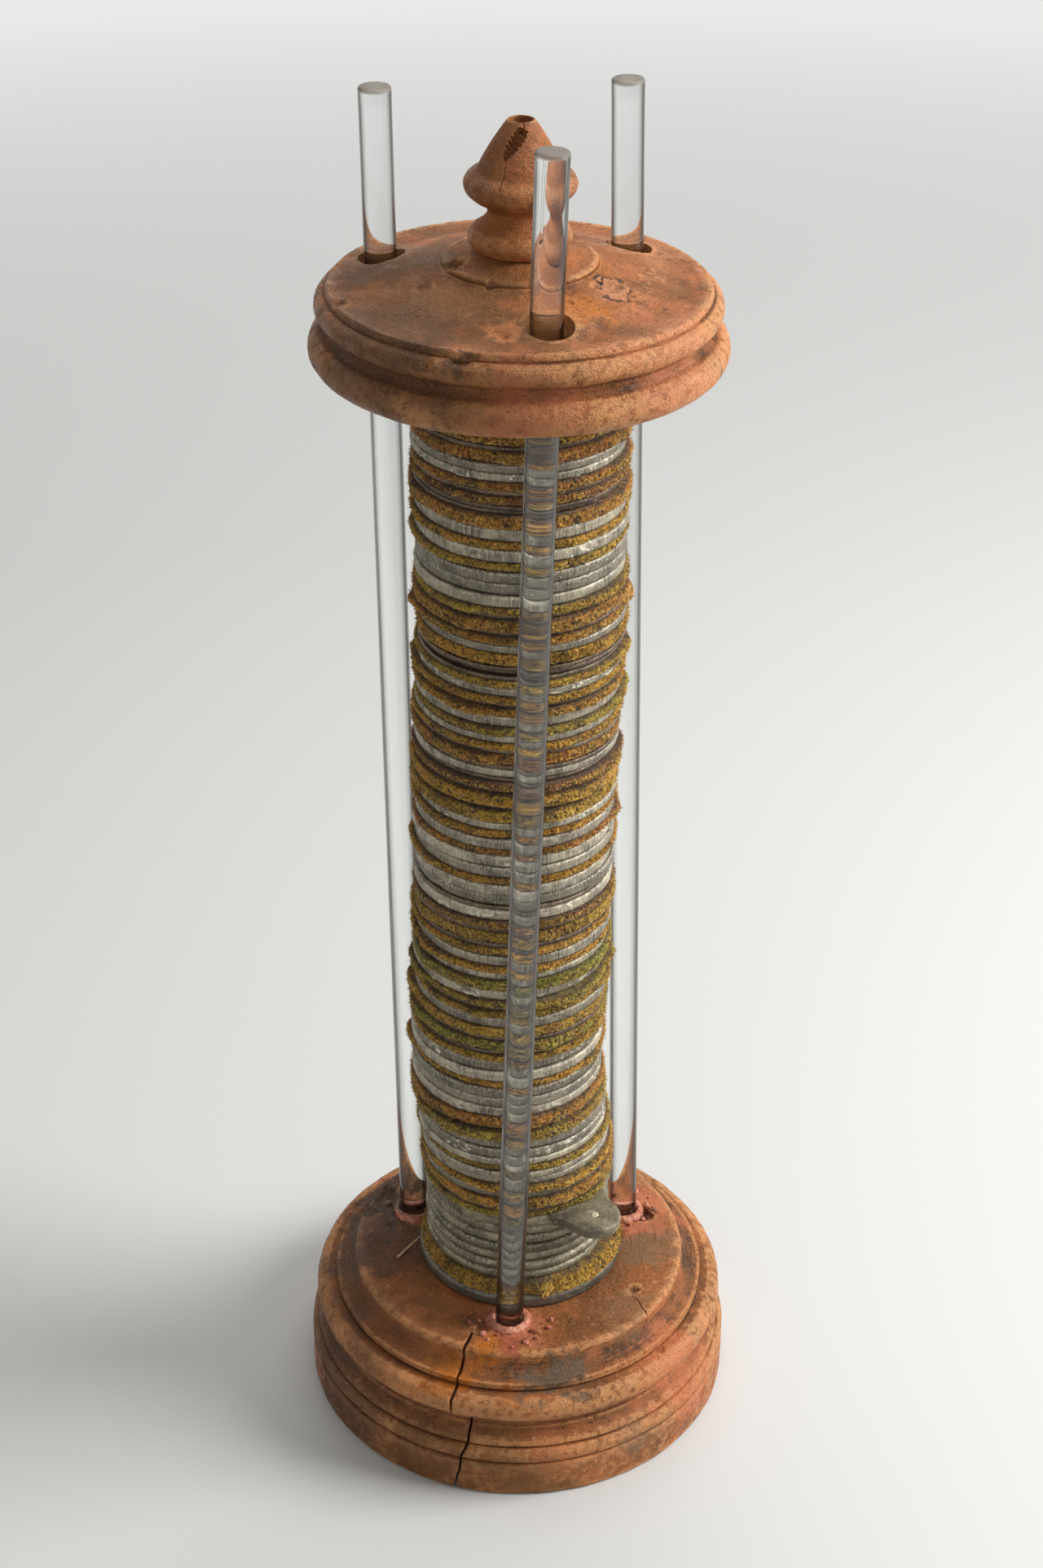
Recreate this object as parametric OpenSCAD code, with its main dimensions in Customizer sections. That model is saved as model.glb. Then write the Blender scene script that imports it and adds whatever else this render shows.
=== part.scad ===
// Voltaic pile: a column of zinc discs, copper discs and felt pads that stands
// between three glass rods, on a turned wooden base and under a turned wooden lid.
// Millimetres, +Z up, origin at the middle of the base's underside, front at -Y.

/* [Base] */
// Diameter of the plinth, the lowest and widest band
base_d = 120; // [112:1:140]
// Height of the plain plinth
plinth_h = 11; // [6:0.5:20]
// Height of the convex band on the plinth
band_h = 5.1; // [4:0.1:8]
// Height of the ogee above the band
ogee_h = 5.1; // [3:0.1:10]
// How far the ogee draws in
ogee_in = 2.8; // [1:0.1:5]
// Height of the dark neck below the torus
neck_h = 3.1; // [1.5:0.1:6]
// Thickness of the torus
torus_t = 7.4; // [5:0.1:10]
// Inset of the torus from the plinth
torus_in = 1.7; // [0:0.1:4]
// Height of the thin lip above the torus
lip_h = 2.3; // [1.5:0.1:5]
// Inset of the lip from the plinth
lip_in = 7.4; // [5:0.1:10]
// Radius of the cove that rises from the lip to the top face
cove_r = 5.6; // [3:0.1:8]

/* [Rods] */
// Diameter of a glass rod
rod_d = 7.8; // [5:0.1:9]
// Running gap between a rod and the bottom plate
rod_gap = 0.6; // [0.4:0.1:3]
// How far the rods rise above the lid
rod_rise = 41; // [20:1:80]
// Chamfer round a rod's ground top
rod_chamfer = 0.6; // [0.2:0.1:1.5]
// Place of the front rod round the base, in degrees
front_angle = -94; // [-100:1:-85]
// Tilt of the front rod, in degrees
front_tilt = 1.3; // [0:0.1:1.6]
// Direction in which the front rod tilts, in degrees
front_tilt_dir = 21; // [0:1:90]
// Place of the left rod round the base, in degrees
left_angle = 157; // [150:1:165]
// Tilt of the left rod, in degrees
left_tilt = 1.0; // [0:0.1:1.6]
// Direction in which the left rod tilts, in degrees
left_tilt_dir = 156; // [90:1:200]
// Place of the right rod round the base, in degrees
right_angle = 24; // [15:1:30]
// Tilt of the right rod, in degrees
right_tilt = 2.3; // [0:0.1:2.6]
// Direction in which the right rod tilts, in degrees
right_tilt_dir = 128; // [60:1:140]

/* [Wax] */
// Depth of a rod's socket in the base
socket_depth = 22; // [12:1:26]
// Thickness of the wax round a rod in its socket
wax_t = 1.3; // [1:0.1:2]
// Height of the wax collar above the base
collar_h = 1.4; // [0.5:0.1:3]
// How far the collar spreads beyond the socket
collar_w = 1.2; // [0.5:0.1:2.5]

/* [Discs] */
// Diameter of the zinc discs
zinc_d = 52.2; // [46:0.1:53]
// Thickness of a full zinc disc
zinc_t = 3.3; // [2.8:0.1:5]
// Thickness of a worn zinc disc
worn_t = 2.4; // [1.6:0.1:3.2]
// How far a copper disc's edge lies inside a zinc disc's edge
copper_in = 0.3; // [0:0.1:2]
// Thickness of a copper disc
copper_t = 1.3; // [1:0.1:2.5]
// How far a felt pad's edge stands out beyond a zinc disc's edge
felt_out = 0.4; // [0:0.1:0.5]
// Thickness of a full felt pad
felt_t = 3.3; // [2.8:0.1:5]
// Thickness of a pressed felt pad
pressed_t = 2.1; // [1.6:0.1:2.8]
// Rounding of a zinc disc's edge
zinc_edge = 0.7; // [0.2:0.1:0.8]
// Rounding of a copper disc's edge
copper_edge = 0.4; // [0.1:0.1:0.5]
// Rounding of a felt pad's edge
felt_edge = 0.8; // [0.2:0.1:0.8]
// How far a disc may sit from the column's own line
stray = 0.35; // [0:0.05:0.4]
// Air between a disc and the one above it
air = 0.05; // [0.02:0.01:0.1]

/* [Foot of the column] */
// How far the bottom plate's edge stands out beyond a zinc disc's edge
plate_out = 2.8; // [1.5:0.1:5]
// Thickness of the bottom plate
plate_t = 4.2; // [3:0.1:6]
// How far the bottom plate sits off the base's axis, to the right and to the back
plate_shift = [0.5, -0.35]; // [-0.5:0.05:0.5]
// How far the bottom felt pad's edge lies inside the plate's edge
pad_in = 0.5; // [0:0.1:3]
// How far that pad sits off the base's axis, to the right and to the back
pad_shift = [0.8, -0.1]; // [-1:0.05:1]
// Thickness of the bottom felt pad
pad_t = 3.5; // [2:0.1:5]
// Number of plain discs between the pad and the terminal disc
lower_count = 6; // [3:1:8]
// Thickness of a plain lower disc
lower_t = 3.2; // [2.2:0.1:4]
// How far a plain lower disc's edge lies inside a zinc disc's edge
lower_in = 0.2; // [0:0.1:2]

/* [Terminal disc] */
// Thickness of the terminal disc
terminal_t = 3.5; // [2.4:0.1:5]
// Distance of the lug's dimple from the disc's edge
lug_out = 5.3; // [4:0.1:7]
// Radius of the lug's round end
lug_r = 7.3; // [4:0.1:7.5]
// Radius of the hollow flanks between the disc and the lug
flank_r = 14; // [8:0.5:20]
// How far the lug's faces lie in from the disc's faces
lug_step = 0.2; // [0.1:0.05:0.6]
// Direction in which the lug points, in degrees
lug_dir = -48; // [-50:1:-30]
// Diameter of the dimple in the lug
dimple_d = 2.6; // [1.5:0.1:4]
// Depth of the dimple
dimple_depth = 1.6; // [0.8:0.1:2]

/* [Lid] */
// Diameter over the lid's lower bead
lid_d = 99.2; // [96:0.1:110]
// How far the lid sits off the base's axis, to the left
lid_shift = 2.3; // [0:0.1:3]
// Thickness of the lower bead
lower_bead_t = 8.6; // [6:0.1:11]
// Height of the groove between the two beads
groove_h = 2.9; // [1.5:0.1:5]
// Depth of that groove from the upper bead's edge
groove_in = 2.5; // [1:0.1:4]
// Thickness of the upper bead
upper_bead_t = 5.6; // [4:0.1:8]
// Inset of the upper bead from the lower one
upper_in = 1.7; // [0:0.1:3]
// Height of the small step up to the top face
rim_h = 1.7; // [1:0.1:3]
// Inset of the top face's edge from the lower bead
rim_in = 4.9; // [3:0.1:6]
// Radius at which the dome starts
dome_r = 36; // [24:0.5:38]
// Height of the dome
dome_h = 5.2; // [2:0.1:8]
// Radius of the raised round boss
boss_r = 18.2; // [14:0.1:22]
// Height of the boss
boss_h = 1.2; // [0.8:0.1:4]
// Diameter of the three rod holes
hole_d = 11.4; // [11.2:0.1:12]
// How far the holes sit to the right of the rods
hole_shift = 0.5; // [0:0.1:0.6]

/* [Finial] */
// Largest radius of the finial's foot
foot_r = 12.2; // [9:0.1:13]
// Thickness of the foot's torus
foot_t = 6.2; // [4:0.1:7]
// Radius of the waist
waist_r = 7.4; // [6.4:0.1:8.5]
// Height of the waist above the lid's boss
waist_z = 11; // [8:0.1:12]
// Largest radius of the flange
flange_r = 13.2; // [11:0.1:16]
// Height of the flange's edge above the boss
flange_z = 17.3; // [16:0.1:20]
// Height at which the cone stands on the flange
cone_z = 20.6; // [20:0.1:25]
// Radius of the cone's foot
cone_r = 10; // [8:0.1:10.5]
// Height of the finial above the boss
finial_h = 32; // [30:0.5:45]
// Diameter of the bore in the finial's top
bore_d = 5.8; // [3:0.1:6.2]
// Depth of that bore
bore_depth = 20; // [10:1:24]
// Diameter of the tenon that holds the finial in the lid
tenon_d = 10; // [8:0.1:12]
// Length of the tenon
tenon_len = 14; // [8:0.5:18]

/* [Hidden] */
$fn = 96;
// Gap of a glued or set joint, and the clearance of a soft piece
fit_gap = 0.03;
soft_gap = 0.3;

// The column from the bottom up, one word for each group that is lifted together:
// Z full zinc, z worn zinc, c copper, F full felt, f pressed felt.
groups = [
    "fcFzfzzf", "zZZFcFZZ", "ZfZZfcFc", "FZfcfZFz", "fZfcFcfZ", "cZZfZZfZ",
    "fzFcFcfcz", "cFcfzfZfc", "fzfcccFzf", "cFcfZZZfZ", "fZFccfcfz", "zFcFZcZ"
];
// Sideways bow of the column: height above the base, and shift to the right
bow = [
    [0, -0.6], [22, -0.5], [26, -0.15], [37, -0.5], [52, -2.5], [66, -3.9], [80, -3.8],
    [99, -3], [170, -2.1], [203, -1], [247, -2], [272, -2.3]
];

// Radii and heights of the base
base_r = base_d / 2;
band_z = plinth_h;
ogee_z = band_z + band_h;
neck_z = ogee_z + ogee_h;
torus_z = neck_z + neck_h;
lip_z = torus_z + torus_t;
cove_z = lip_z + lip_h;
edge_round = 0.7;
base_h = cove_z + cove_r + edge_round;
lip_r = base_r - lip_in;
top_r = lip_r - cove_r;

// Diameters in the column, all from a zinc disc's
copper_d = zinc_d - 2 * copper_in;
felt_d = zinc_d + 2 * felt_out;
lower_d = zinc_d - 2 * lower_in;
plate_d = zinc_d + 2 * plate_out;
pad_d = plate_d - 2 * pad_in;
lug_reach = zinc_d / 2 + lug_out;

// Places of the rods
rod_r = rod_d / 2;
rod_circle = plate_d / 2 + rod_r + rod_gap;
socket_r = rod_r + wax_t;

// Heights of the column
plate_z = base_h;
pad_z = plate_z + plate_t;
lower_z = pad_z + pad_t;
terminal_z = lower_z + lower_count * lower_t;
pile_z = terminal_z + terminal_t;
letters = [for (g = groups) for (k = g) k];
group_count = len(groups);
pile_top = pile_z + column_height(len(letters));

// Heights of the lid and the finial
lid_z = pile_top;
groove_z = lower_bead_t;
upper_z = groove_z + groove_h;
rim_z = upper_z + upper_bead_t;
lid_h = rim_z + rim_h;
lid_r = lid_d / 2;
boss_z = lid_h + dome_h + boss_h;
rod_top = lid_z + lid_h + rod_rise;

// Name of one group's discs of one kind, such as zinc_discs_04
function group_name(kind, g) =
    str(kind, kind == "felt" ? "_pads_" : "_discs_", g < 10 ? "0" : "", g);

// Points of an arc, from one angle to another
function arc(x, z, r, from, to, steps) =
    [for (i = [0:steps]) let (a = from + (to - from) * i / steps) [x + r * cos(a), z + r * sin(a)]];

// Points of an S-shaped slope between two points
function ogee(x0, z0, x1, z1, steps) =
    [for (i = [0:steps]) let (t = i / steps) [x0 + (x1 - x0) * (1 - cos(180 * t)) / 2, z0 + (z1 - z0) * t]];

// Size, kind and place of the column's discs
function kind_of(k) = k == "Z" || k == "z" ? "zinc" : k == "c" ? "copper" : "felt";
function disc_t(k) =
    k == "Z" ? zinc_t : k == "z" ? worn_t : k == "c" ? copper_t : k == "F" ? felt_t : pressed_t;
function disc_d(kind) = kind == "zinc" ? zinc_d : kind == "copper" ? copper_d : felt_d;
function edge_of(kind) = kind == "zinc" ? zinc_edge : kind == "copper" ? copper_edge : felt_edge;
function column_height(n) = n == 0 ? 0 : column_height(n - 1) + disc_t(letters[n - 1]);
function first_of(g) = g == 1 ? 0 : first_of(g - 1) + len(groups[g - 2]);
function line_x(z) = lookup(z - base_h, bow);
function stray_x(i) = stray * sin(i * 137);
function stray_y(i) = stray * sin(i * 211 + 40);

// Point of a rod's axis at height z, for a rod given by place, tilt and direction
function rod_point(rod, z) =
    [rod_circle * cos(rod[0]) + (z - base_h) * tan(rod[1]) * cos(rod[2]),
     rod_circle * sin(rod[0]) + (z - base_h) * tan(rod[1]) * sin(rod[2])];
front = [front_angle, front_tilt, front_tilt_dir];
left = [left_angle, left_tilt, left_tilt_dir];
right = [right_angle, right_tilt, right_tilt_dir];
rods = [front, left, right];

// A flat round disc with rounded edges, standing on z = 0
module disc(d, t, edge) {
    steps = 3;
    rotate_extrude()
        polygon(concat(
            [[0, 0]],
            arc(d / 2 - edge, edge, edge, -90, 0, steps),
            arc(d / 2 - edge, t - edge, edge, 0, 90, steps),
            [[0, t]]
        ));
}

// Turned base with three vertical sockets for the rods
module base() {
    bead_r = band_h / 2 + 0.3;
    groove = 0.6;
    steps = 7;
    torus_r = torus_t / 2;
    ogee_r = base_r - 1.8;
    neck_r = ogee_r - ogee_in;
    profile = concat(
        [[0, 0], [base_r - edge_round, 0], [base_r, edge_round], [base_r, band_z]],
        arc(base_r - bead_r, band_z + band_h / 2, bead_r, -50, 55, steps),
        [[ogee_r - groove, ogee_z]],
        ogee(ogee_r, ogee_z + groove, neck_r, neck_z, steps),
        [[neck_r - groove, neck_z + groove], [neck_r - groove, torus_z]],
        arc(base_r - torus_in - torus_r, torus_z + torus_r, torus_r, -75, 80, 2 * steps),
        [[lip_r - groove, lip_z], [lip_r, lip_z + groove], [lip_r, cove_z - groove]],
        arc(lip_r, cove_z + cove_r, cove_r, 270, 180, steps),
        [[top_r - edge_round, base_h], [0, base_h]]
    );
    color("sienna")
        difference() {
            rotate_extrude()
                polygon(profile);
            for (rod = rods)
                translate([each rod_point(rod, base_h), base_h - socket_depth])
                    cylinder(r = socket_r, h = socket_depth + 1);
        }
}

// Solid on a rod's tilted axis between two heights, with a chamfered top
module on_rod(rod, r, from, to, chamfer) {
    along = cos(rod[1]);
    length = (to - from) / along;
    translate([each rod_point(rod, from), from])
        rotate([0, 0, rod[2]])
            rotate([0, rod[1], 0])
                rotate_extrude()
                    polygon([[0, 0], [r, 0], [r, length - chamfer], [r - chamfer, length], [0, length]]);
}

// Glass rod, set leaning in its socket
module rod(place) {
    color("lightcyan")
        on_rod(place, rod_r, base_h - socket_depth + wax_t, rod_top, rod_chamfer);
}

// Sealing wax that fills the socket round a rod, with a low collar on the base
module wax(place) {
    color("salmon")
        difference() {
            translate([each rod_point(place, base_h), 0]) {
                translate([0, 0, base_h - socket_depth])
                    cylinder(r = socket_r - fit_gap, h = socket_depth);
                translate([0, 0, base_h])
                    cylinder(r1 = socket_r + collar_w, r2 = socket_r, h = collar_h);
            }
            on_rod(place, rod_r + fit_gap, base_h - socket_depth + wax_t, base_h + 3 * collar_h, 0);
            translate([each plate_shift, base_h])
                cylinder(d = plate_d + 2 * soft_gap, h = 2 * collar_h);
        }
}

// Large plate under the column
module bottom_plate() {
    plate_edge = 1.2;
    color("slategray")
        translate([each plate_shift, plate_z])
            disc(plate_d, plate_t - air, plate_edge);
}

// Large felt pad on the bottom plate
module bottom_pad() {
    color("darkgoldenrod")
        translate([each pad_shift, pad_z])
            disc(pad_d, pad_t - air, felt_edge);
}

// Plain rounded discs below the terminal disc
module lower_discs() {
    color("gray")
        for (i = [0:lower_count - 1])
            translate([line_x(lower_z + i * lower_t) + stray_x(i), stray_y(i), lower_z + i * lower_t])
                disc(lower_d, lower_t - air, zinc_edge);
}

// Zinc disc with a broad pointed lug and a dimple for the wire's end
module terminal_disc() {
    disc_r = zinc_d / 2;
    steps = 8;
    // A flank's circle touches the lug's round end and runs a little way into the disc
    bite = zinc_edge + 0.2;
    a = disc_r + flank_r - bite;
    b = lug_r + flank_r;
    at_disc = acos((a * a + lug_reach * lug_reach - b * b) / (2 * a * lug_reach));
    at_lug = acos((b * b + lug_reach * lug_reach - a * a) / (2 * b * lug_reach));
    half = concat(
        arc(a * cos(at_disc), a * sin(at_disc), flank_r, 180 + at_disc, 360 - at_lug, steps),
        arc(lug_reach, 0, lug_r, 180 - at_lug, 0, steps)
    );
    inner = disc_r - 6;
    lug_top = terminal_t - air - lug_step;
    color("darkgray")
        translate([line_x(terminal_z), 0, terminal_z])
            difference() {
                union() {
                    disc(zinc_d, terminal_t - air, zinc_edge);
                    rotate([0, 0, lug_dir])
                        translate([0, 0, lug_step])
                            linear_extrude(lug_top - lug_step)
                                polygon(concat(
                                    [[inner * cos(at_disc), inner * sin(at_disc)]],
                                    half,
                                    [for (i = [len(half) - 2:-1:0]) [half[i][0], -half[i][1]]],
                                    [[inner * cos(at_disc), -inner * sin(at_disc)]]
                                ));
                }
                rotate([0, 0, lug_dir])
                    translate([lug_reach, 0, lug_top - dimple_depth])
                        cylinder(d = dimple_d, h = dimple_depth + 1);
            }
}

// The discs of one kind in one group of the column
module group_discs(kind, g) {
    first = first_of(g);
    for (i = [first:first + len(groups[g - 1]) - 1])
        if (kind_of(letters[i]) == kind) {
            z = pile_z + column_height(i);
            translate([line_x(z) + stray_x(i + 7), stray_y(i + 7), z])
                disc(disc_d(kind), disc_t(letters[i]) - air, edge_of(kind));
        }
}

module zinc_discs(g) {
    color("silver") group_discs("zinc", g);
}

module copper_discs(g) {
    color("dimgray") group_discs("copper", g);
}

module felt_pads(g) {
    color("goldenrod") group_discs("felt", g);
}

// Turned lid with roomy rod holes and a blind hole for the finial's tenon
module lid() {
    steps = 6;
    lower_r = lower_bead_t / 2;
    upper_r = upper_bead_t / 2;
    upper_edge = lid_r - upper_in;
    groove_r = upper_edge - groove_in;
    rim_r = lid_r - rim_in;
    step = 0.5;
    profile = concat(
        [[0, 0]],
        arc(lid_r - lower_r, lower_r, lower_r, -90, 60, 2 * steps),
        [[groove_r + step, groove_z], [groove_r, groove_z + step], [groove_r, upper_z - step]],
        arc(upper_edge - upper_r, upper_z + upper_r, upper_r, -60, 70, steps),
        [[rim_r + step, rim_z], [rim_r + step, rim_z + rim_h / 3], [rim_r, lid_h]],
        ogee(dome_r, lid_h, boss_r + step, lid_h + dome_h, steps),
        [[boss_r, lid_h + dome_h], [boss_r, boss_z - step], [boss_r - step, boss_z], [0, boss_z]]
    );
    color("peru")
        difference() {
            translate([-lid_shift, 0, lid_z])
                rotate_extrude()
                    polygon(profile);
            for (rod = rods)
                translate([each rod_point(rod, (lid_z + rod_top) / 2) + [hole_shift, 0], lid_z - 1])
                    cylinder(d = hole_d, h = boss_z + 2);
            translate([-lid_shift, 0, lid_z + boss_z - tenon_len - soft_gap])
                cylinder(d = tenon_d + 2 * fit_gap, h = tenon_len + 1);
        }
}

// Turned finial with a tenon below and a bore down from its cut-off tip
module finial() {
    steps = 8;
    torus_r = foot_t / 2;
    flange_round = 3.2;
    rim = 0.3;
    tip_r = bore_d / 2 + rim;
    neck_top = foot_r - torus_r;
    profile = concat(
        [[0, -tenon_len], [tenon_d / 2, -tenon_len], [tenon_d / 2, 0]],
        arc(foot_r - torus_r, torus_r, torus_r, -90, 80, steps),
        ogee(neck_top, foot_t + 0.4, waist_r, waist_z, steps),
        ogee(waist_r, waist_z + 0.8, flange_r - flange_round / 2, flange_z - flange_round * 0.8, steps),
        arc(flange_r - flange_round, flange_z, flange_round, -45, 55, steps),
        [for (i = [0:steps]) let (t = i / steps) [
            tip_r + (cone_r - tip_r) * (1 - pow(t, 1.2)),
            cone_z + (finial_h - cone_z) * t
        ]],
        [[0, finial_h]]
    );
    color("chocolate")
        translate([-lid_shift, 0, lid_z + boss_z])
            difference() {
                rotate_extrude()
                    polygon(profile);
                translate([0, 0, finial_h - bore_depth])
                    cylinder(d = bore_d, h = bore_depth + 1);
            }
}

base();
rod(front);  // rod_front
rod(left);  // rod_left
rod(right);  // rod_right
wax(front);  // wax_front
wax(left);  // wax_left
wax(right);  // wax_right
bottom_plate();
bottom_pad();
lower_discs();
terminal_disc();
for (g = [1:group_count]) zinc_discs(g);
for (g = [1:group_count]) copper_discs(g);
for (g = [1:group_count]) felt_pads(g);
lid();
finial();
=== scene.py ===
import math
import random
from functools import partial

import bpy
import bmesh
import numpy as np
from mathutils import Matrix, Vector, noise


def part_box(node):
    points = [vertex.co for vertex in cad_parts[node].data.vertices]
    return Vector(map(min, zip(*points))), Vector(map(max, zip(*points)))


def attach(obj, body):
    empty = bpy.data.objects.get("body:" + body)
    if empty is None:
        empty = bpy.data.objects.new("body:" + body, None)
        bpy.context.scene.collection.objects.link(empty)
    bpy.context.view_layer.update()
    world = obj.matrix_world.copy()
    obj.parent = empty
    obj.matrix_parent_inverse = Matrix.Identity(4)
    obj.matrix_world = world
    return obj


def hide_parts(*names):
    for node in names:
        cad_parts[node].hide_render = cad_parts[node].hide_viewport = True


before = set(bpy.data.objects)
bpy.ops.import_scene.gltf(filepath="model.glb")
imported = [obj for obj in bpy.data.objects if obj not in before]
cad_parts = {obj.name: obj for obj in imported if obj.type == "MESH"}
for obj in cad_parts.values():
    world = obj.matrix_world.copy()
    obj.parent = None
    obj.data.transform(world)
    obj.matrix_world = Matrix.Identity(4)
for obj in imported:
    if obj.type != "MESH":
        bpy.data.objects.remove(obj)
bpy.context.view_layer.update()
mm = 0.001

# Base: one block of fruit wood, turned on a lathe with a plinth, beads, a cove and a thin lip,
# stained red-brown and rubbed pale on its crests. A shrinkage crack runs down its front,
# and three sockets are bored in its top for the glass rods.


def take(piece):
    """Makes a piece the only selected and active one."""
    bpy.ops.object.select_all(action="DESELECT")
    piece.select_set(True)
    bpy.context.view_layer.objects.active = piece


def new_piece(name, data):
    """Puts a mesh, a lamp or a camera in the scene under a name."""
    piece = bpy.data.objects.new(name, data)
    bpy.context.scene.collection.objects.link(piece)
    take(piece)
    return piece


def primitive(kind, name="shape", **sizes):
    """Adds a primitive mesh as a piece, with its place in its points."""
    bpy.ops.object.select_all(action="DESELECT")
    getattr(bpy.ops.mesh, "primitive_" + kind + "_add")(**sizes)
    piece = bpy.context.active_object
    piece.name = name
    bpy.ops.object.transform_apply()
    return piece


def modify(piece, kind, **settings):
    """Changes a piece's mesh by one modifier."""
    take(piece)
    modifier = piece.modifiers.new(kind, kind)
    for name, value in settings.items():
        setattr(modifier, name, value)
    bpy.ops.object.modifier_apply(modifier=kind)


def set_mode(mode):
    """Goes to edit mode or back to object mode."""
    bpy.ops.object.mode_set(mode=mode)


def select_where(piece, kind, test):
    """Selects the points, edges or faces in edit mode for which test is true."""
    bpy.ops.mesh.select_mode(type=kind)
    bpy.ops.mesh.select_all(action="DESELECT")
    shape = bmesh.from_edit_mesh(piece.data)
    for part in {"VERT": shape.verts, "EDGE": shape.edges, "FACE": shape.faces}[kind]:
        part.select = test(part)
    bmesh.update_edit_mesh(piece.data)


def merge_close(limit):
    """Merges the points in edit mode that lie closer than a limit."""
    bpy.ops.mesh.select_all(action="SELECT")
    bpy.ops.mesh.remove_doubles(threshold=limit)


def cut_edges(place, across, **cleared):
    """Cuts the edges in edit mode where they cross a plane."""
    bpy.ops.mesh.select_all(action="SELECT")
    bpy.ops.mesh.bisect(plane_co=place, plane_no=across, **cleared)


def slice_along(length, count):
    """Divides the active upright piece of that length into so many slices."""
    set_mode("EDIT")
    for level in range(1, count):
        cut_edges((0, 0, length * (level / count - 0.5)), (0, 0, 1))
    set_mode("OBJECT")


def lay(piece, middle, way):
    """Lays a piece made upright round the origin: its middle at a point, its axis along a way."""
    turned = way.to_track_quat("Z", "X").to_matrix().to_4x4()
    piece.data.transform(Matrix.Translation(middle) @ turned)


def smooth_faces(piece, degrees):
    """Shades a piece smooth, except across edges sharper than an angle."""
    take(piece)
    bpy.ops.object.shade_smooth_by_angle(angle=math.radians(degrees))


def copy_of(node, name):
    """A copy of a CAD node with its loose triangles merged."""
    piece = new_piece(name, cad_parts[node].data.copy())
    piece.data.materials.clear()
    set_mode("EDIT")
    merge_close(0.002 * mm)
    set_mode("OBJECT")
    return piece


def turn_on_lathe(node, name, axis_x, cut_degrees, spacing, steps, plain, eased=None, rounds=0):
    """Divides the section of a turned CAD node finely and turns it round its axis. Edges stay whole
    where plain(radius, height) is true, and the outline is eased in rounds where eased() is true."""
    piece = copy_of(node, name)
    cut_angle = math.radians(cut_degrees)
    across = (-math.sin(cut_angle), math.cos(cut_angle), 0)
    outwards = (math.cos(cut_angle), math.sin(cut_angle), 0)
    set_mode("EDIT")
    cut_edges((axis_x, 0, 0), across, clear_inner=True, clear_outer=True)
    cut_edges((axis_x, 0, 0), outwards, clear_inner=True)
    merge_close(0.12 * mm)
    outline = bmesh.from_edit_mesh(piece.data)
    for point in outline.verts:
        if math.hypot(point.co.x - axis_x, point.co.y) < 0.3 * mm:
            point.co.x, point.co.y = axis_x, 0
    while True:
        long_edges = 0
        for edge in outline.edges:
            middle = (edge.verts[0].co + edge.verts[1].co) / 2
            radius = math.hypot(middle.x - axis_x, middle.y)
            edge.select = edge.calc_length() > spacing and not plain(radius, middle.z)
            long_edges += edge.select
        if not long_edges:
            break
        bpy.ops.mesh.subdivide(number_cuts=1)
        outline = bmesh.from_edit_mesh(piece.data)
    if eased:
        select_where(piece, "VERT", lambda p: eased(math.hypot(p.co.x - axis_x, p.co.y), p.co.z))
        bpy.ops.mesh.vertices_smooth(factor=0.5, repeat=rounds)
    set_mode("OBJECT")
    piece.data.transform(Matrix.Translation((-axis_x, 0, 0)))
    turned = {"steps": steps, "render_steps": steps, "use_merge_vertices": True}
    modify(piece, "SCREW", merge_threshold=0.02 * mm, **turned)
    piece.data.transform(Matrix.Translation((axis_x, 0, 0)))
    set_mode("EDIT")
    merge_close(0.01 * mm)
    bpy.ops.mesh.normals_make_consistent(inside=False)
    set_mode("OBJECT")
    return piece


def points_of(piece, what="co"):
    """The places of a mesh's points as rows, or their outward directions if asked for "normal"."""
    values = np.empty(len(piece.data.vertices) * 3)
    piece.data.vertices.foreach_get(what, values)
    return values.reshape(-1, 3)


def move_points(piece, points):
    """Moves a mesh's points to new places."""
    piece.data.vertices.foreach_set("co", points.ravel())
    piece.data.update()


def lumps(points, size, seed, octaves=2):
    """Soft heights from about -1 to 1 at points, in lumps of about that size."""
    shift = Vector((seed * 13.71, seed * 7.13, seed * 3.37))
    scale = 1 / size
    return np.array([noise.fractal(Vector(p) * scale + shift, 1, 2, octaves) for p in points.tolist()])


def swollen(piece, layers, share=1):
    """A piece's points, moved outwards by a share of some layers of lumps. Each layer is a height and
    a size in millimetres, a seed and, where it isn't 2, a number of octaves."""
    points = points_of(piece)
    heights = sum(height * lumps(points, size * mm, *seeds) for height, size, *seeds in layers)
    return points + points_of(piece, "normal") * (share * heights * mm)[:, None]


def fade(values, start, end):
    """0 at start, 1 at end and a soft slope between, as an array."""
    t = np.clip((values - start) / (end - start), 0, 1)
    return t * t * (3 - 2 * t)


def note(piece, name, values):
    """Writes a value at each point, for the piece's finish to read."""
    layer = piece.data.attributes.new(name, "FLOAT", "POINT")
    layer.data.foreach_set("value", np.asarray(values, np.float32))


def crests_of(piece, rounds, height):
    """How far each point stands out from its smoothed surroundings: 1 on crests, -1 in grooves."""
    points = points_of(piece)
    ends = np.empty(len(piece.data.edges) * 2, np.int64)
    piece.data.edges.foreach_get("vertices", ends)
    ends = ends.reshape(-1, 2)
    here, there = np.concatenate([ends, ends[:, ::-1]]).T
    count = np.bincount(here, minlength=len(points))
    smooth = points
    for _ in range(rounds):
        total = [np.bincount(here, smooth[there, axis], len(points)) for axis in range(3)]
        smooth = np.column_stack(total) / count[:, None]
    stands = ((points - smooth) * points_of(piece, "normal")).sum(1)
    return np.clip(stands / height, -1, 1)


def note_wear(piece, broad=(40, 0.3 * mm), fine=(5, 0.045 * mm), share=1):
    """Notes a turned piece's crests and edges, each from rounds of smoothing and a height."""
    note(piece, "crest", crests_of(piece, *broad))
    note(piece, "edge", share * crests_of(piece, *fine))
    smooth_faces(piece, 38)


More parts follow.
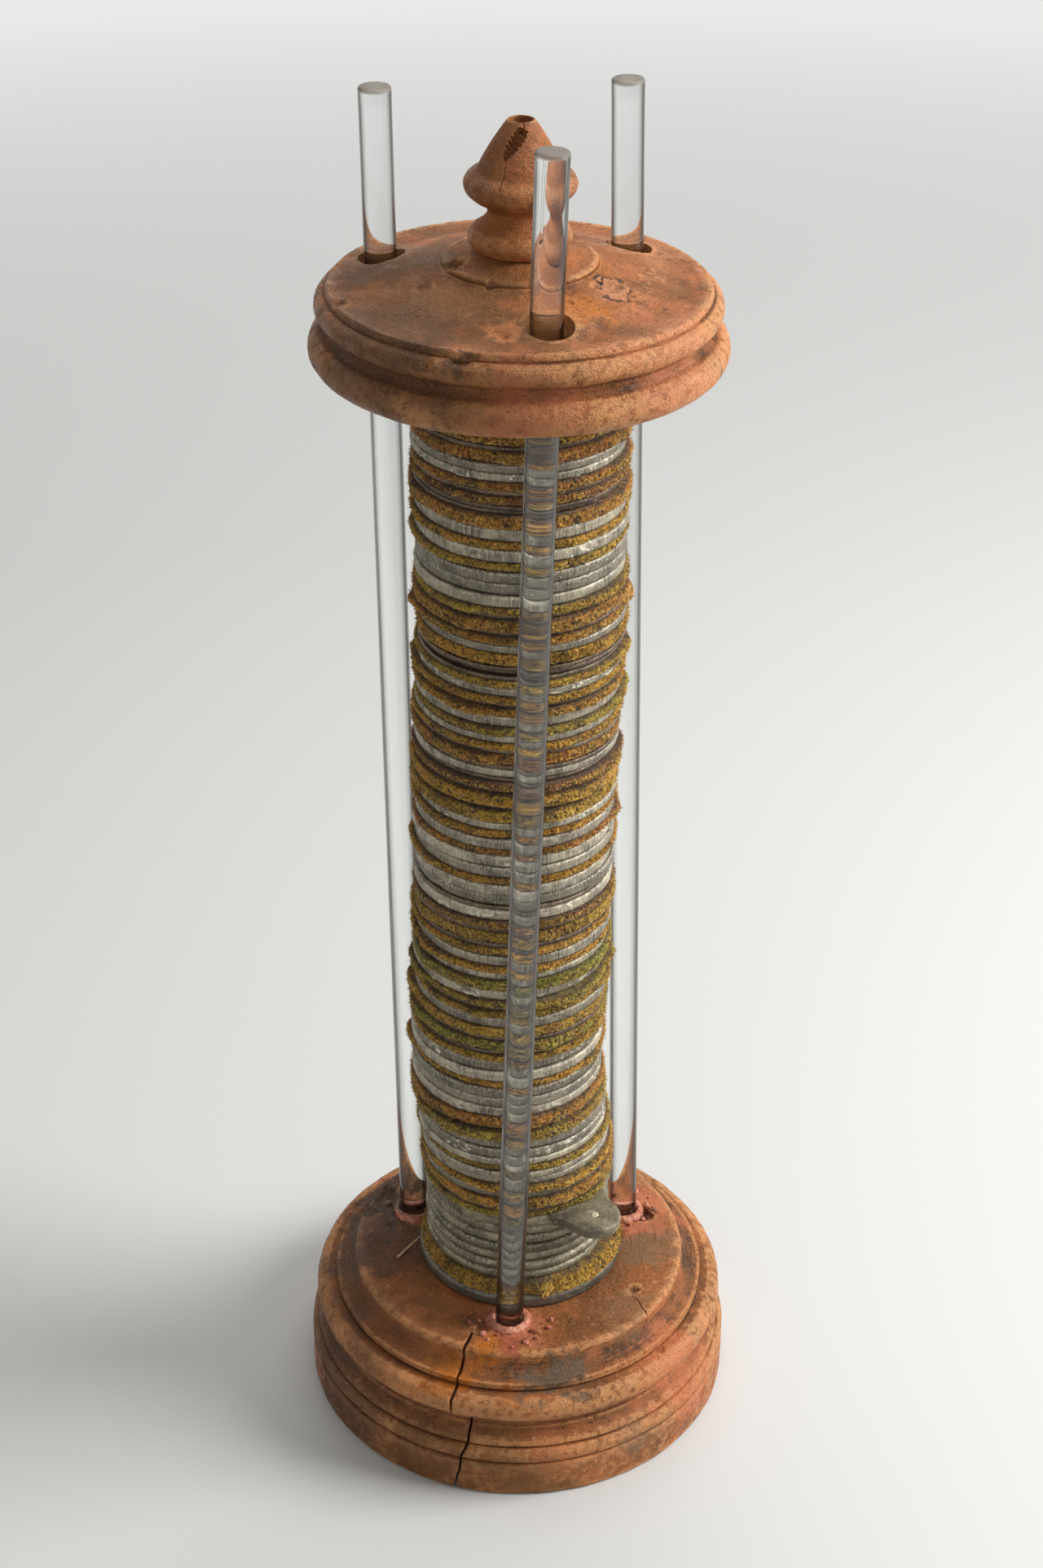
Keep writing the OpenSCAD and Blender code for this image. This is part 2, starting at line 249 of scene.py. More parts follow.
def dent(points, centre, radius, depth, seed):
    """Sinks a rough hollow of a radius and a depth round a centre. All are in millimetres."""
    away = points - np.array(centre) * mm
    far = np.linalg.norm(away, axis=1) / (radius * mm)
    near = far < 1.6
    rim = far[near] + 0.35 * lumps(points[near], 0.4 * radius * mm, seed)
    points[near, 2] -= depth * mm * (1 - fade(rim, 0.45, 1.0))


def cut_out(piece, cutters):
    """Cuts other meshes out of a piece, and removes them."""
    for cutter in cutters:
        modify(piece, "BOOLEAN", operation="DIFFERENCE", solver="MANIFOLD", object=cutter)
        bpy.data.objects.remove(cutter)


def crack_blade(start, end, low, high, lean, width, seed):
    """A thin crooked blade: cut out of wood, it opens a crack. Its plan goes from start to end, in
    millimetres, and it leans along its run by that much per millimetre of height."""
    blade = primitive("grid", x_subdivisions=24, y_subdivisions=36, size=1)
    along = Vector((end[0] - start[0], end[1] - start[1], 0))
    side = Vector((-along.y, along.x, 0)).normalized()
    for corner in blade.data.vertices:
        share, rise = corner.co.x + 0.5, corner.co.y + 0.5
        height = low + (high - low) * rise
        crook = noise.fractal(Vector((share * 2, height / 5, seed)), 1, 2, 3)
        place = Vector((start[0], start[1], height)) + along * share
        corner.co = (place + side * (0.55 * crook + lean * (high - height))) * mm
    modify(blade, "SOLIDIFY", thickness=width * mm, offset=0)
    for corner in blade.data.vertices:
        inner = (corner.co / mm - Vector((start[0], start[1], corner.co.z / mm))).length / along.length
        rough = noise.noise(corner.co / (1.1 * mm)) * 0.12
        corner.co += side * rough * mm * min(1, inner)
    return blade


def rod_axis(node):
    """The lower end of a CAD rod's axis, the way it leans, its radius and its length."""
    points = points_of(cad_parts[node])
    middle = (points[:, 2].min() + points[:, 2].max()) / 2
    low = np.unique(points[points[:, 2] < middle].round(7), axis=0).mean(0)
    high = np.unique(points[points[:, 2] > middle].round(7), axis=0).mean(0)
    way = (high - low) / np.linalg.norm(high - low)
    along = (points - low) @ way
    radius = np.linalg.norm(points - low - along[:, None] * way, axis=1).max()
    return Vector(low), Vector(way), float(radius), float(along.max())


def axis_at(rod, height):
    """The point of a rod's axis at a height."""
    low, way = rod[:2]
    return low + way * ((height - low.z) / way.z)


def drills(radius, depth, corners, level, middle, shift=0):
    """Upright cylinders to cut with, one where each rod's axis passes a level."""
    places = [axis_at(rod, level) for rod in rods.values()]
    places = [(place.x + shift, place.y, middle) for place in places]
    return [primitive("cylinder", vertices=corners, radius=radius, depth=depth, location=p) for p in places]


rods = {side: rod_axis("rod_" + side) for side in ("front", "left", "right")}
base_low, base_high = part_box("base")
base_top = base_high.z
socket_r = 5.2 * mm
plate_r = 24 * mm

base = turn_on_lathe(
    "base", "turned_base", axis_x=0, cut_degrees=-40, spacing=0.66 * mm, steps=420,
    plain=lambda radius, height: radius < plate_r or height < 0.3 * mm,
)
points = swollen(base, [(0.16, 9, 1), (0.05, 1.6, 2)])
for hollow in [
    ((15.0, -46.2, 40.3), 2.4, 1.5, 3), ((32.8, -20.4, 40.3), 1.7, 1.0, 4), ((-45.5, 19, 40), 6, 1.3, 5),
    ((-40, 20, 40.3), 4, 1.4, 6), ((-34, 26, 40.3), 3, 1.1, 15), ((-44, 12, 40.2), 2.6, 0.9, 16),
    ((-30, 24, 40.3), 1.6, 0.8, 17), ((-37, 6, 40.3), 1.4, 0.5, 18),
    ((36.2, 12.4, 40.3), 3.4, 1.6, 7), ((-9.5, -36.5, 40.3), 2.6, 0.8, 8),
    ((3.8, -37.8, 40.3), 1.8, 0.6, 9), ((-30, 11, 40.3), 5, 0.7, 10), ((19.5, -54.5, 33), 3, 0.8, 11),
    ((57, -4, 26), 2.2, 0.7, 12), ((40, -35, 32), 1.8, 0.5, 13), ((-26, -50, 31.5), 1.6, 0.5, 14),
]:
    dent(points, *hollow)
points[:, 2] = np.maximum(points[:, 2], base_low.z)
move_points(base, points)

cutters = drills(socket_r, 30 * mm, corners=72, level=base_top, middle=base_top - 7 * mm)
cutters += [
    crack_blade((-12.6, -38.6), (-21.5, -66), low=23.5, high=45, lean=0, width=0.85, seed=21),
    crack_blade((-10.2, -47), (-13.4, -64), low=-3, high=25.5, lean=-0.19, width=0.7, seed=22),
    crack_blade((33.4, -24.2), (37.6, -33.5), low=39.4, high=42, lean=0, width=0.3, seed=23),
]
cut_out(base, cutters)
splinter_low, splinter_high = Vector((-34.6, -8.3, 40.5)) * mm, Vector((-28.0, 0.2, 41.6)) * mm
lie = splinter_high - splinter_low
splinter = primitive(
    "cone", "base_splinter", vertices=12, radius1=0.4 * mm, radius2=0.16 * mm, depth=lie.length
)
lay(splinter, (splinter_low + splinter_high) / 2, lie)
note_wear(base)


def colour(shown):
    """A colour as a picture shows it, in the numbers that a shader takes, or a node's output as it is."""
    if isinstance(shown, bpy.types.NodeSocket):
        return shown
    return [((v / 255 + 0.055) / 1.055) ** 2.4 for v in shown] + [1]


def feed(tree, node, inputs):
    """Gives a shader node its inputs. Each is a value, or the output of another node."""
    for name, value in inputs.items():
        if isinstance(value, bpy.types.NodeSocket):
            tree.links.new(value, node.inputs[name])
        else:
            node.inputs[name].default_value = value


def add(tree, kind, inputs, **settings):
    """Adds a shader node with its inputs and its settings."""
    made = tree.nodes.new("ShaderNode" + kind)
    for name, value in settings.items():
        setattr(made, name, value)
    feed(tree, made, inputs)
    return made


def grains(place, size, start, end, stretch=(1, 1, 1), detail=3):
    """Soft grains of a size in millimetres, 0 where the pattern is below start and 1 above end."""
    tree = place.id_data
    scaled = add(tree, "Mapping", {"Vector": place, "Scale": [s / (size * mm) for s in stretch]})
    pattern = add(tree, "TexNoise", {"Vector": scaled.outputs[0], "Scale": 1, "Detail": detail})
    ranged = {"Value": pattern.outputs["Fac"], "From Min": start, "From Max": end}
    return add(tree, "MapRange", ranged, interpolation_type="SMOOTHSTEP").outputs[0]


def fit_range(value, start, end, low=0, high=1):
    """Maps start to low and end to high, and stops there."""
    ends = {"Value": value, "From Min": start, "From Max": end, "To Min": low, "To Max": high}
    return add(value.id_data, "MapRange", ends).outputs[0]


def maths(operation, first, second):
    """One sum on a node's number and another number."""
    return add(first.id_data, "Math", {0: first, 1: second}, operation=operation).outputs[0]


def times(first, second):
    """The product of two numbers."""
    return maths("MULTIPLY", first, second)


def vector_maths(operation, first, second=(0, 0, 0)):
    """One sum on two vectors: a number for a length or a distance, and else a vector."""
    made = add(first.id_data, "VectorMath", {0: first, 1: second}, operation=operation)
    return made.outputs["Value" if operation in ("LENGTH", "DISTANCE") else "Vector"]


def from_axis(place):
    """How far a place lies from the upright axis through the origin."""
    return vector_maths("LENGTH", vector_maths("MULTIPLY", place, (1, 1, 0)))


def attribute(tree, name):
    """What note() wrote at each point."""
    return add(tree, "Attribute", {}, attribute_name=name).outputs["Fac"]


def paint(amount, under, over, share=1):
    """Lays one colour over another by a share of an amount."""
    if share != 1:
        amount = times(amount, share)
    mixed = {0: amount, 6: colour(under), 7: colour(over)}
    return add(amount.id_data, "Mix", mixed, data_type="RGBA").outputs[2]


def coats(shade, layers):
    """Lays coats over a colour in turn. Each is an amount, a colour and, if not 1, a share."""
    for amount, over, *share in layers:
        shade = paint(amount, shade, over, *share)
    return shade


def relief(layers):
    """Small reliefs in the light, one over another. Each is a height and its depth in millimetres."""
    bump = {"Strength": 1}
    for height, depth in layers:
        bump.update({"Height": height, "Distance": depth * mm})
        bump["Normal"] = add(height.id_data, "Bump", bump).outputs[0]
    return bump["Normal"]


def new_finish(name):
    """A material, its node tree, the piece's own coordinates and its maker of grains."""
    material = bpy.data.materials.new(name)
    material.use_nodes = True
    tree = material.node_tree
    place = add(tree, "TexCoord", {}).outputs["Object"]
    return material, tree, place, partial(grains, place)


def finished(material, inputs):
    """A material whose shader has been given its inputs."""
    feed(material.node_tree, material.node_tree.nodes["Principled BSDF"], inputs)
    return material


def coat(piece, material):
    """Gives a piece its only material."""
    piece.data.materials.clear()
    piece.data.materials.append(material)


def near(place, centre, radius, size):
    """1 near a centre, both in millimetres, with a ragged border in lumps of that size."""
    away = vector_maths("DISTANCE", place, [v * mm for v in centre])
    ragged = grains(place, size, 0.3, 0.7, detail=4)
    wavy = maths("ADD", away, times(ragged, 0.7 * radius * mm))
    return fit_range(wavy, 1.25 * radius * mm, 0.75 * radius * mm)


terracotta = (158, 94, 52)
umber = (112, 70, 38)
dusty_pink = (194, 124, 76)
soot_and_shade = (40, 28, 19)
ochre_stain = (182, 104, 30)
wax_pink = (190, 110, 80)
# a colour for painted shade
painted_side_shade = (72, 48, 34)
grey_stain = (84, 76, 64)


def knot_in(place, centre, half_width, half_depth):
    """Where a knot is (1 inside), and the dark cracks in it and round it. Sizes are in millimetres."""
    away = vector_maths("SUBTRACT", place, [v * mm for v in centre])
    spread = vector_maths("DIVIDE", away, (half_width * mm, half_depth * mm, 1))
    ragged = times(grains(place, 3, 0.3, 0.7, detail=4), 0.5)
    far = maths("ADD", from_axis(spread), ragged)
    border = times(fit_range(far, 0.95, 1.08), fit_range(far, 1.26, 1.14))
    border = times(border, grains(place, 3.5, 0.46, 0.54))
    inside = fit_range(far, 1.25, 0.95)
    split = times(inside, grains(place, 1.6, 0.58, 0.63, (1, 0.5, 1), 4))
    return inside, maths("MAXIMUM", border, split)


def stained_wood(name, axis_x, stains, knot=None):
    """Turned, stained and worn fruit wood, with painted shade in its grooves and creases, and fine edges
    paled partly by wear and partly as a painted highlight. A stain is a centre, a radius, a colour and a
    strength, and some stains are painted shade; a knot is a centre and two half sizes."""
    material, tree, place, grain = new_finish(name)
    centred = add(tree, "Mapping", {"Vector": place, "Location": (-axis_x, 0, 0)}).outputs[0]
    height = add(tree, "SeparateXYZ", {"Vector": centred}).outputs["Z"]
    turned = add(tree, "CombineXYZ", {"X": from_axis(centred), "Y": height}).outputs[0]
    crest = attribute(tree, "crest")
    edge = attribute(tree, "edge")
    rings = grains(turned, 0.9, 0.35, 0.7, detail=2)
    fibres = grain(0.55, 0.4, 0.75, (0.08, 1, 1))
    pale_crests = times(fit_range(crest, 0.15, 0.7), grain(4, 0.3, 0.62))
    # painted shade: darker in the grooves of the turning
    groove_shade = times(fit_range(crest, -0.2, -1), grain(13, 0.4, 0.62))
    # painted shade: darker along the fine creases between mouldings
    painted_shading = times(fit_range(edge, -0.5, -1), grain(14, 0.42, 0.6, detail=4))
    # the fine edges are paled, partly worn bare and partly a painted highlight
    worn_and_lit_edges = times(fit_range(edge, 0.25, 0.8), grain(2, 0.3, 0.55))
    pores = grain(0.5, 0.62, 0.72, (0.5, 1, 1), 1)
    sand = grain(0.45, 0.4, 0.72, detail=2)
    shade = coats(umber, [
        (grain(22, 0.4, 0.66, detail=4), terracotta),
        (grain(6, 0.48, 0.75, detail=5), (138, 80, 42)),
        (grain(11, 0.5, 0.66, (1, 1, 1.6), 5), (178, 106, 64), 0.75),
        (rings, umber, 0.22),
        (fibres, (104, 64, 42), 0.32),
        (pale_crests, dusty_pink, 0.26),
        (groove_shade, soot_and_shade, 0.3),
        (painted_shading, soot_and_shade, 0.8),
        (worn_and_lit_edges, (216, 158, 104), 0.5),
        (grain(9, 0.62, 0.8, detail=5), (92, 60, 36), 0.22),
    ])
    for centre, reach, tone, strength in stains:
        shade = paint(near(place, centre, reach, 0.45 * reach), shade, tone, strength)
    shade = coats(shade, [(pores, soot_and_shade, 0.42), (sand, (198, 136, 80), 0.2)])
    bumps = [(grain(1.6, 0.3, 0.7, detail=4), 0.12), (rings, 0.05), (fibres, -0.05), (sand, 0.09)]
    if knot:
        inside, cracks = knot_in(place, *knot)
        shade = coats(shade, [(inside, (186, 128, 92), 0.6), (cracks, soot_and_shade, 0.85)])
        bumps.append((cracks, -0.4))
    gloss = fit_range(grain(6, 0.3, 0.7), 0, 1, 0.5, 0.68)
    gloss = maths("SUBTRACT", gloss, times(pale_crests, 0.2))
    return finished(material, {
        "Base Color": shade,
        "Roughness": maths("ADD", gloss, times(pores, 0.2)),
        "Specular IOR Level": 0.22,
        "Normal": relief(bumps + [(pores, -0.12)]),
    })


coat(base, stained_wood("worn_stained_base", 0, [
    ((-2.3, -36, 40.3), 12, wax_pink, 0.75), ((-2.4, -43.7, 40), 6, (158, 78, 60), 0.75),
    ((-9, -44, 40), 6, ochre_stain, 0.9), ((-16, -50, 36), 7, ochre_stain, 0.7),
    ((-20, -48, 34), 9, ochre_stain, 0.5), ((0, -54, 31), 6, ochre_stain, 0.5),
    ((35, 14, 40.3), 15, wax_pink, 0.8), ((37, 12.6, 40.3), 4, soot_and_shade, 0.9),
    ((-38, 18, 40.3), 17, soot_and_shade, 0.95), ((-46, 16, 39), 13, soot_and_shade, 0.9), ((-32, 30, 40), 14, soot_and_shade, 0.85),
    ((-36, -4, 40.3), 17, (70, 48, 35), 0.8), ((-46, 2, 38), 14, (64, 45, 34), 0.75),
    ((-12, -34.4, 40.3), 5, soot_and_shade, 0.6), ((6, -53, 36.5), 9, grey_stain, 0.85),
    ((14, -51, 36.5), 9, grey_stain, 0.85), ((16, -50.5, 37), 4, soot_and_shade, 0.85),
    ((14.6, -45.8, 40), 3, dusty_pink, 0.8), ((17, -46, 40), 2.2, soot_and_shade, 0.9),
    ((37, -3, 40.3), 12, (118, 92, 66), 0.7), ((30, -28, 40.3), 11, (138, 100, 68), 0.6),
    # painted shade on the base's front-left side
    ((-45, -36, 8), 34, painted_side_shade, 0.7), ((-54, -14, 20), 28, painted_side_shade, 0.65),
    # painted shade on the front of the plinth
    ((2, -59, 4), 22, (116, 78, 38), 0.65), ((-24, -54, 4), 22, (104, 68, 34), 0.65),
    ((48, -30, 14), 20, (192, 108, 70), 0.5), ((42, -38, 28), 16, (194, 112, 76), 0.5),
    ((57, 2, 24), 6, (92, 84, 70), 0.6), ((10, -56, 12), 10, (190, 112, 72), 0.4),
    ((32, -48, 12), 9, (112, 98, 80), 0.5),
]))
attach(base, "base")
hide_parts("base")
pale_wood = [((-31, -4, 41), 60, (222, 190, 150), 0.85)]
coat(splinter, stained_wood("bare_splinter", 0, pale_wood))
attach(splinter, "base")

# Rods: three clear glass rods, drawn round, with ground and chamfered ends, set leaning in their sockets.
# The ground tops are frosted, and the long sides carry fine scratches and dust.


def round_rims(piece, width, segments):
    """Rounds the rims of an upright piece, and leaves it in edit mode."""
    set_mode("EDIT")
    select_where(piece, "EDGE", lambda rim: abs(rim.verts[0].co.z - rim.verts[1].co.z) < 0.01 * mm)
    bpy.ops.mesh.bevel(offset=width, segments=segments)


def clear_glass():
    """Clear drawn glass, frosted at the ground top, faintly scratched, and darkened towards its edges as a
    painted dark reflection.
    """
    material, tree, place, grain = new_finish("clear_drawn_glass")
    height = add(tree, "SeparateXYZ", {"Vector": place}).outputs["Z"]
    ground = fit_range(height, rod_top - 1.3 * mm, rod_top - 0.7 * mm)
    scratches = grain(0.5, 0.66, 0.74, (1, 1, 0.05), 2)
    dust = grain(0.6, 0.64, 0.75)
    haze = maths("ADD", times(dust, 0.03), times(scratches, 0.06))
    slant = add(tree, "LayerWeight", {"Blend": 0.5}).outputs["Facing"]
    # painted dark reflection: the glass is darkened towards its edges, where it faces away from the camera
    tone = paint(fit_range(slant, 0.22, 0.5), (250, 252, 251), (52, 50, 47))
    grit = times(grain(0.3, 0.3, 0.7), ground)
    return finished(material, {
        "Base Color": paint(ground, tone, (150, 140, 128)),
        "Roughness": maths("ADD", haze, times(ground, 0.5)),
        "Transmission Weight": fit_range(ground, 0, 1, 1, 0.55),
        "IOR": 1.5,
        "Normal": relief([(grit, 0.06), (grain(14, 0.2, 0.8), 0.02)]),
    })


rod_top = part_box("rod_front")[1].z
glass = clear_glass()
for side, (low, way, radius, length) in rods.items():
    piece = primitive("cylinder", "glass_rod_" + side, vertices=96, radius=radius, depth=length)
    round_rims(piece, 0.6 * mm, 4)
    slice_along(length, 60)
    lay(piece, low + way * (length / 2), way)
    move_points(piece, swollen(piece, [(0.025, 22, 31, 1)]))
    smooth_faces(piece, 30)
    coat(piece, glass)
    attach(piece, "base")
    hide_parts("rod_" + side)

# Wax: red sealing wax poured round the foot of each rod, in its socket and up over the rim.
# It has set in a low lumpy collar, and has crumbled at the right and the front.


def sealing_wax():
    """Old brittle sealing wax, salmon red with dirt in its pits."""
    material, _, place, grain = new_finish("crumbled_sealing_wax")
    shade = coats((176, 100, 74), [
        (grain(2.5, 0.4, 0.65), (208, 142, 112)),
        (grain(1.6, 0.62, 0.72), (186, 72, 54)),
        (grain(0.8, 0.56, 0.7), (104, 56, 42)),
        (near(place, (-36, 15, 41), 7, 2), (84, 56, 40)),
        (grain(0.5, 0.64, 0.75), soot_and_shade),
    ])
    return finished(material, {
        "Base Color": shade,
        "Roughness": fit_range(grain(1.5, 0.3, 0.7), 0, 1, 0.35, 0.6),
        "Subsurface Weight": 0.1,
        "Subsurface Scale": 1 * mm,
        "Normal": relief([(grain(1.2, 0.3, 0.7), 0.2)]),
    })


wax_finish = sealing_wax()
crumbs = {
    "front": [
        (-5.6, -39.6), (-7.8, -35.6), (4.4, -37.4), (2.2, -42.2), (-9.6, -39.4), (6.8, -34.6), (-6.6, -33.2),
        (-11.8, -36.8), (-10.6, -33.8), (8.6, -36.6), (5.2, -40.8), (9.4, -33.4), (-1.4, -44.2),
        (3.4, -43.4), (-8.2, -41.6), (-13.4, -34.6), (6.2, -38.6),
    ],
    "left": [(-26.8, 18.4), (-38.4, 15.2), (-35.2, 9.4), (-29.4, 22.8)],
    "right": [
        (35.4, 12.6), (37.6, 15.4), (33.2, 9.2), (36.4, 9.6), (39.2, 12.2), (34.4, 21.6), (38.2, 19.2),
        (32.2, 7),
    ],
}
for number, side in enumerate(rods):
    piece = copy_of("wax_" + side, "sealing_wax_" + side)
    modify(piece, "REMESH", mode="VOXEL", voxel_size=0.48 * mm)
    above = fade(points_of(piece)[:, 2], base_top - 0.5 * mm, base_top + 0.6 * mm)
    move_points(piece, swollen(piece, [(0.3, 2.4, 41 + number), (0.12, 0.7, 45 + number)], above))
    chance = random.Random(60 + number)
    for x, y in crumbs[side]:
        size = chance.uniform(0.35, 0.95)
        place = (x * mm, y * mm, base_top + 0.3 * size * mm)
        crumb = primitive("ico_sphere", subdivisions=3, radius=size * mm, location=place)
        move_points(crumb, swollen(crumb, [(0.5 * size, size, chance.random() * 9)]))
        take(piece)
        crumb.select_set(True)
        bpy.ops.object.join()
    smooth_faces(piece, 40)
    coat(piece, wax_finish)
    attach(piece, "base")
    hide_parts("wax_" + side)

# Discs: each disc of the column is cut from rolled zinc or copper sheet, or punched out of thick felt,
# and none is quite round or flat. A blank of each kind is made once, and every disc is a worn copy of it,
# laid where the CAD has it.


def round_blank(radius, height, edge, corners, rows):
    """A round blank with rounded rims, a divided wall and divided faces, as points and faces."""
    blank = primitive("cylinder", vertices=corners, radius=radius, depth=height, location=(0, 0, height / 2))
    round_rims(blank, edge, 3)
    for row in range(1, rows):
        cut_edges((0, 0, edge + (height - 2 * edge) * row / rows), (0, 0, 1))
    select_where(blank, "FACE", lambda face: len(face.verts) > 8)
    for width in (1.2 * mm, 3 * mm):
        bpy.ops.mesh.inset(thickness=width)
    bpy.ops.mesh.poke()
    set_mode("OBJECT")
    made = points_of(blank), [tuple(face.vertices) for face in blank.data.polygons]
    bpy.data.objects.remove(blank)
    return made


def discs_in(node):
    """Centre, radius, underside and thickness of each loose disc in a CAD node, from the lowest up."""
    copy_of(node, "loose")
    bpy.ops.mesh.separate(type="LOOSE")
    found = []
    for part in list(bpy.context.selected_objects):
        points = points_of(part)
        low, high = points.min(0), points.max(0)
        middle = (low + high) / 2
        found.append((middle[0], middle[1], (high[0] - low[0]) / 2, low[2], high[2] - low[2]))
        bpy.data.objects.remove(part)
    return sorted(found, key=lambda disc: disc[3])


pile_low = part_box("terminal_disc")[1].z
pile_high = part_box("lid")[0].z


def settled(points):
    """Points after the column has settled: its layers wave together, so discs that touch still do."""
    rise = np.clip((points[:, 2] - pile_low) / (pile_high - pile_low), 0, 1)
    held = np.sin(math.pi * rise) ** 0.5
    lean_x = 0.014 * np.sin(17 * rise + 1) + 0.008 * np.sin(41 * rise)
    lean_y = 0.012 * np.sin(13 * rise + 4) + 0.007 * np.sin(37 * rise + 2)
    points[:, 2] += held * (lean_x * (points[:, 0] + 2 * mm) + lean_y * points[:, 1])
    return points


def joined(name, parts, notes):
    """One piece from the points and faces of several discs, with what was noted at their points."""
    corners, faces, start = [], [], 0
    for points, shape in parts:
        corners.append(points)
        faces += [tuple(i + start for i in face) for face in shape]
        start += len(points)
    mesh = bpy.data.meshes.new(name)
    mesh.from_pydata(np.concatenate(corners).tolist(), [], faces)
    piece = new_piece(name, mesh)
    for key, values in notes.items():
        note(piece, key, np.concatenate(values))
    smooth_faces(piece, 50)
    return piece


def nearest_blank(blanks, disc):
    """The blank whose height is nearest to a disc's thickness."""
    return min(blanks, key=lambda blank: abs(blank[0] - disc[4]))


def widen(points, far, grow, scale):
    """Moves a blank's points outwards from its axis by some growth, and scales them across."""
    stretch = (far + grow) / np.maximum(far, 1e-9) * scale
    points[:, :2] *= np.where(far > 1e-6, stretch, 1)[:, None]


def worn_metal(blank, disc, radius, height, chance, flaking, gap):
    """A metal disc: out of round, thinner on one side, with nicks and flakes of corrosion on its edge."""
    points = blank[0].copy()
    x, y, wide, low, thick = disc
    seed = chance.uniform(0, 90)
    angle = np.arctan2(points[:, 1], points[:, 0])
    far = np.hypot(points[:, 0], points[:, 1])
    rim = fade(far, 0.86 * radius, 0.97 * radius)
    upper = points[:, 2] / height
    side = chance.uniform(-math.pi, math.pi)
    dip = gap * chance.random() * (0.5 + 0.5 * np.cos(angle - side)) ** 2
    points[:, 2] -= upper * dip * rim
    grow = 0.12 * np.sin(2 * angle + side) + 0.07 * np.sin(3 * angle + 2 * side) - 0.08
    nicks = lumps(points, 1.3 * mm, seed)
    patches = fade(lumps(points, 8 * mm, seed + 8), -0.1, 0.35)
    flakes = fade(lumps(points, 1.3 * mm, seed + 3, 3), 0.1, 0.5) * patches * flaking * rim
    grow += 0.07 * nicks + 0.16 * flakes - 0.25 * fade(lumps(points, 3.5 * mm, seed + 5), 0.45, 0.75)
    widen(points, far, rim * grow * mm, wide / radius)
    points[:, 2] *= thick / height
    points += (x, y, low)
    # painted light: painted shade near the bottom of the wall and at its top edge, and below 0 a painted
    # highlight on the upper rim
    painted_rim_light = fade(upper, 0.25, 0.02) - fade(upper, 0.7, 0.88) + 1.3 * fade(upper, 0.95, 1)
    return settled(points), flakes, painted_rim_light


def discs_piece(name, node, blanks, wear, gap):
    """One node's metal discs as one piece."""
    parts, cast, flake, painted_shading = [], [], [], []
    for disc in discs_in(node):
        height, radius, blank = nearest_blank(blanks, disc)
        chance = random.Random(round(disc[3] * 1e5))
        flaking = wear * max(0, chance.uniform(-0.8, 1))
        points, flakes, painted_rim_light = worn_metal(blank, disc, radius, height, chance, flaking, gap)
        parts.append((points, blank[1]))
        cast.append(np.full(len(points), chance.random()))
        flake.append(flakes)
        painted_shading.append(painted_rim_light)
    return joined(name, parts, {"cast": cast, "flake": flake, "painted_rim_light": painted_shading})


def blank_like(disc, edge, corners, rows):
    """The height, radius and blank for discs like that one."""
    return disc[4], disc[2], round_blank(disc[2], disc[4], edge, corners, rows)


def sheet_metal(name, dark, pale, bloom, shine=0.3, rough=(0.35, 0.65), file_marks=0):
    """Weathered sheet metal: cast differs from disc to disc, with file marks, corrosion and dirt. Its upper
    rim carries a painted highlight, and painted shade darkens its lower rim and its top edge where it meets
    the discs below and above."""
    material, tree, place, grain = new_finish(name)
    split = add(tree, "SeparateXYZ", {"Vector": place}).outputs
    round_edge = times(maths("ARCTAN2", split["Y"], split["X"]), 26 * mm)
    wall = add(tree, "CombineXYZ", {"X": round_edge, "Y": split["Z"]}).outputs[0]
    cast = attribute(tree, "cast")
    painted_rim_light = attribute(tree, "painted_rim_light")
    marks = grains(wall, 0.35, 0.4, 0.75, (1, 0.07, 1), 2)
    filed = times(fit_range(cast, 0.2, 0.8, 0.4, 1), file_marks)
    speckle = grain(0.45, 0.6, 0.7, detail=2)
    # a painted highlight on the upper rim
    pale_crests = times(fit_range(painted_rim_light, 0.1, -0.8), grain(0.7, 0.4, 0.65))
    flaky = fit_range(attribute(tree, "flake"), 0.1, 0.5)
    crust = times(flaky, grain(0.5, 0.3, 0.5))
    dirty = add(tree, "Mix", {0: 0.5, 6: colour(dark), 7: colour(soot_and_shade)}, data_type="RGBA")
    shade = coats(dark, [
        (cast, pale),
        (grain(6, 0.35, 0.7), dirty.outputs[2]),
        (times(marks, filed), bloom),
        (grain(1.1, 0.5, 0.72, detail=4), dark, 0.5),
        (speckle, bloom, 0.45),
        (pale_crests, bloom, 0.45),
        (crust, bloom),
        (grain(2.5, 0.55, 0.75, (1, 1, 2.5), 4), (46, 38, 28), 0.5),
        # painted shade at the lower rim and the top edge, where the discs meet
        (painted_rim_light, (34, 28, 22), 0.8),
    ])
    dull = maths("MAXIMUM", grain(3, 0.3, 0.7), crust)
    return finished(material, {
        "Base Color": shade,
        "Metallic": fit_range(crust, 0, 1, shine, 0),
        "Roughness": fit_range(dull, 0, 1, *rough),
        "Normal": relief([
            (marks, 0.03), (speckle, 0.05), (grain(1.4, 0.3, 0.7, detail=4), 0.08), (crust, 0.15),
        ]),
    })


zinc = sheet_metal("corroded_zinc", (96, 87, 71), (168, 157, 132), (226, 217, 194), file_marks=0.5)
copper = sheet_metal(
    "tarnished_copper", (62, 50, 40), (112, 92, 72), (168, 148, 120), shine=0.4, file_marks=0.25,
)
groups = ["%02d" % g for g in range(1, 13)]
zinc_found = sorted((d for g in groups for d in discs_in("zinc_discs_" + g)), key=lambda d: d[4])
zinc_blanks = [blank_like(zinc_found[i], edge=0.7 * mm, corners=220, rows=4) for i in (0, -1)]
copper_blanks = [blank_like(discs_in("copper_discs_01")[0], edge=0.4 * mm, corners=220, rows=2)]
lower_blanks = [blank_like(discs_in("lower_discs")[0], edge=1.3 * mm, corners=240, rows=3)]

